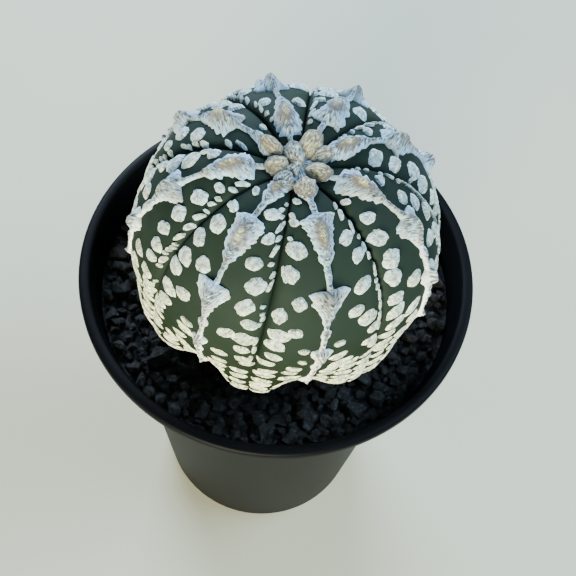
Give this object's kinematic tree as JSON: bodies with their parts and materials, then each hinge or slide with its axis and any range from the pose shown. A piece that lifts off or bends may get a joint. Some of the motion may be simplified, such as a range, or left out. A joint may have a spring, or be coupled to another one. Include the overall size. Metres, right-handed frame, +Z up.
{
  "type": "potted star cactus",
  "caption": "Squat ribbed star cactus with woolly flecks and a star of woolly areoles, bedded in dark gravel in a deep round nursery pot with a turned-out lip.",
  "frame": {"origin": "middle of the pot's foot, on the plane the pot stands on", "axes": "+Z up through the middle of the pot and out of the plant's crown; -Y faces the viewer of the picture"},
  "size_m": [0.09, 0.09, 0.1436],
  "materials": {
    "pot": "satin black injection-moulded polypropylene",
    "potting_mix": "dry peat and bark, dull",
    "gravel": "crushed dark volcanic stone, slightly damp",
    "cactus_skin": "waxy dark green plant skin with cream felt flecks",
    "wool": "dense cream plant wool"
  },
  "bodies": {
    "root": {"pot": "pot", "potting_mix": "potting_mix", "gravel": "gravel", "cactus_body": "cactus_skin", "areole_star": "wool"}
  },
  "joints": []
}
